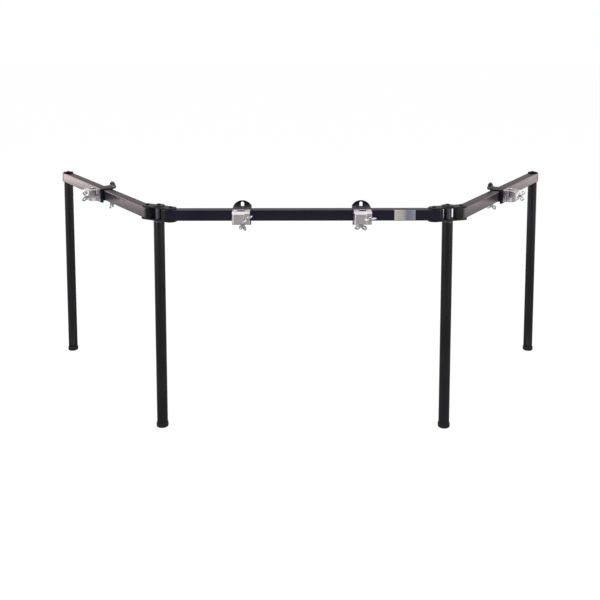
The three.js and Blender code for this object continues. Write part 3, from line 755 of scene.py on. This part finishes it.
def foil_label():
    """Foil on the bar's front face: rows run up the face and part way round its upper edge."""
    place = 351 * MM
    half_width = 36 * MM
    foot = -16.5 * MM
    off = 0.12 * MM
    bar = middle_of("front_bar")
    half = BAR_SIDE / 2
    centre = half - BAR_CORNER
    turn = np.linspace(0, math.pi / 4, 5)
    back = np.concatenate(([-half, -half], -centre - BAR_CORNER * np.cos(turn)))
    rise = np.concatenate(([foot, 0.0], centre + BAR_CORNER * np.sin(turn)))
    columns = np.linspace(-half_width, half_width, 9)
    up, across = np.meshgrid(np.arange(len(back)), columns, indexing="ij")
    points = np.stack((place + across, bar.y + back[up], bar.z + rise[up]), axis=-1)
    step = np.gradient(np.stack((back, rise), axis=-1), axis=0)
    normal = np.stack((-step[:, 1], step[:, 0]), axis=-1)
    normal /= np.linalg.norm(normal, axis=1)[:, None]
    top = points.copy()
    top[..., 1:] += normal[:, None] * off
    under = points.copy()
    under[..., 1:] -= normal[:, None] * off / 2
    ring = np.concatenate((top, under[:, ::-1]), axis=1)
    length = np.concatenate(([0], np.cumsum(np.hypot(np.diff(back), np.diff(rise)))))
    share = (across + half_width) / (2 * half_width)
    share = np.concatenate((share, share[:, ::-1]), axis=1)
    height = np.broadcast_to((length / length[-1])[:, None], share.shape)
    coordinates = np.stack((share, height), axis=-1).reshape(-1, 2)
    made = fresh("blank_foil_label", skin(ring), foil, coordinates)
    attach(made, "front_bar")
    return made


foil_label()


# Camera, light and floor


def look():
    """The picture camera, almost straight on.

    Its shift is smaller than the photograph's and its tilt larger.
    """
    picture = 600
    centre_row = 132
    focal_length = 880.5
    sideways = -26.85 * MM
    before_bar = 2.972
    height = 1.379
    tilt_down = 0.1092
    turn_right = 0.00665
    data = bpy.data.cameras.new("camera")
    data.sensor_width = 36
    data.lens = focal_length / picture * data.sensor_width
    data.shift_y = -(picture / 2 - centre_row) / picture
    camera = bpy.data.objects.new("camera", data)
    camera.location = (sideways, middle_of("front_bar").y - before_bar, height)
    camera.rotation_euler = (math.pi / 2 - tilt_down, 0, -turn_right)
    bpy.context.scene.collection.objects.link(camera)
    bpy.context.scene.camera = camera


def plane(name, place, towards, width, height, material):
    """A flat rectangle about a place, facing a point."""
    half = np.array([[-1, -1], [1, -1], [1, 1], [-1, 1]]) * (width / 2, height / 2)
    back = (Vector(towards) - Vector(place)).normalized()
    turn = back.to_track_quat("Z", "Y").to_matrix().to_4x4()
    mesh = bpy.data.meshes.new(name)
    mesh.from_pydata([(*corner, 0.0) for corner in half.tolist()], [], [(0, 1, 2, 3)])
    mesh.transform(Matrix.Translation(place) @ turn)
    mesh.materials.append(material)
    made = bpy.data.objects.new(name, mesh)
    bpy.context.scene.collection.objects.link(made)
    return made


def bare_tree(owner):
    """The node tree of a material or world, with no nodes in it."""
    owner.use_nodes = True
    owner.node_tree.nodes.clear()
    return owner.node_tree


def seen(tree):
    """One where a camera, glossy or transmission ray looks, and zero for the rays that carry light."""
    path = put(tree, "ShaderNodeLightPath")
    either = put(
        tree, "ShaderNodeMath", {0: path.outputs["Is Camera Ray"], 1: path.outputs["Is Glossy Ray"]},
        operation="MAXIMUM",
    )
    return put(
        tree, "ShaderNodeMath", {0: either.outputs[0], 1: path.outputs["Is Transmission Ray"]},
        operation="MAXIMUM",
    ).outputs[0]


def floor_finish():
    """Pale matt floor: where it is seen, most of its light is its own white, so shadows stay faint."""
    material = bpy.data.materials.new("pale_floor")
    tree = bare_tree(material)
    pale = (0.85, 0.85, 0.85, 1)
    own_white = 1.1
    share_of_white = 0.85
    matt = put(tree, "ShaderNodeBsdfDiffuse", Color=pale)
    white = put(tree, "ShaderNodeEmission", Color=WHITE, Strength=own_white)
    share = put(tree, "ShaderNodeMath", {0: seen(tree)}, operation="MULTIPLY")
    share.inputs[1].default_value = share_of_white
    mixed = put(
        tree, "ShaderNodeMixShader", {0: share.outputs[0], 1: matt.outputs[0], 2: white.outputs[0]},
    )
    put(tree, "ShaderNodeOutputMaterial", {"Surface": mixed.outputs[0]})
    return material


def world():
    """White where it is seen, and a plain grey where it lights the object."""
    made = bpy.data.worlds.new("studio")
    bpy.context.scene.world = made
    tree = bare_tree(made)
    dim = put(tree, "ShaderNodeBackground", Color=WHITE, Strength=0.45)
    white = put(tree, "ShaderNodeBackground", Color=WHITE, Strength=1.0)
    mixed = put(tree, "ShaderNodeMixShader", {0: seen(tree), 1: dim.outputs[0], 2: white.outputs[0]})
    put(tree, "ShaderNodeOutputWorld", {"Surface": mixed.outputs[0]})


def softbox(name, place, towards, width, height, brightness, colour="#ffffff"):
    """An area light whose face is as bright as a white of the given strength."""
    data = bpy.data.lights.new(name, "AREA")
    data.shape = "RECTANGLE"
    data.size = width
    data.size_y = height
    data.energy = brightness * math.pi * width * height
    data.color = linear(colour)[:3]
    made = bpy.data.objects.new(name, data)
    made.location = place
    made.rotation_euler = (Vector(towards) - Vector(place)).to_track_quat("-Z", "Y").to_euler()
    made.visible_camera = False
    bpy.context.scene.collection.objects.link(made)


def card(name, place, towards, width, height, colour):
    """A card that only reflections show, such as stands round an object in a studio."""
    material = bpy.data.materials.new(name)
    tree = bare_tree(material)
    shade = put(tree, "ShaderNodeEmission", Color=linear(colour), Strength=1.0)
    put(tree, "ShaderNodeOutputMaterial", {"Surface": shade.outputs[0]})
    made = plane(name, place, towards, width, height, material)
    for kind in ("camera", "diffuse", "shadow", "transmission", "volume_scatter"):
        setattr(made, f"visible_{kind}", False)


look()
world()
plane("floor", place=(0, 0, 0), towards=(0, 0, 1), width=80, height=80, material=floor_finish())
softbox(
    "overhead_softbox", place=(0.0, -0.6, 3.6), towards=(0, 0, 0.6), width=3.6, height=2.6,
    brightness=1.8,
)
softbox(
    "back_left_softbox", place=(-3.6, 3.3, 1.1), towards=(-0.8, 0.3, 0.7), width=2.6, height=2.6,
    brightness=3.3, colour="#fffdf9",
)
softbox(
    "back_right_softbox", place=(3.6, 3.0, 1.1), towards=(0.8, 0.3, 0.7), width=2.4, height=2.4,
    brightness=1.15, colour="#fff8f6",
)
softbox(
    "front_left_softbox", place=(-2.9, -2.6, 1.0), towards=(-0.4, -0.3, 0.5), width=0.9, height=1.9,
    brightness=2.6,
)
softbox(
    "front_right_softbox", place=(2.9, -2.6, 1.0), towards=(0.4, -0.3, 0.5), width=0.9, height=1.9,
    brightness=2.2,
)
card("front_wall_card", place=(0, -6, 2.5), towards=(0, 0, 2.5), width=12, height=5, colour="#999999")
card(
    "front_floor_card", place=(0, -3.0, 0.004), towards=(0, -3.0, 1), width=10, height=6.6,
    colour="#b3b2b2",
)
card("back_wall_card", place=(0, 8, 2.5), towards=(0, 0, 2.5), width=11, height=5, colour="#b2b0b1")
card(
    "back_floor_card", place=(0, 4.15, 0.004), towards=(0, 4.15, 1), width=4.4, height=7.6,
    colour="#979596",
)

view = bpy.context.scene.view_settings
view.view_transform = "Standard"
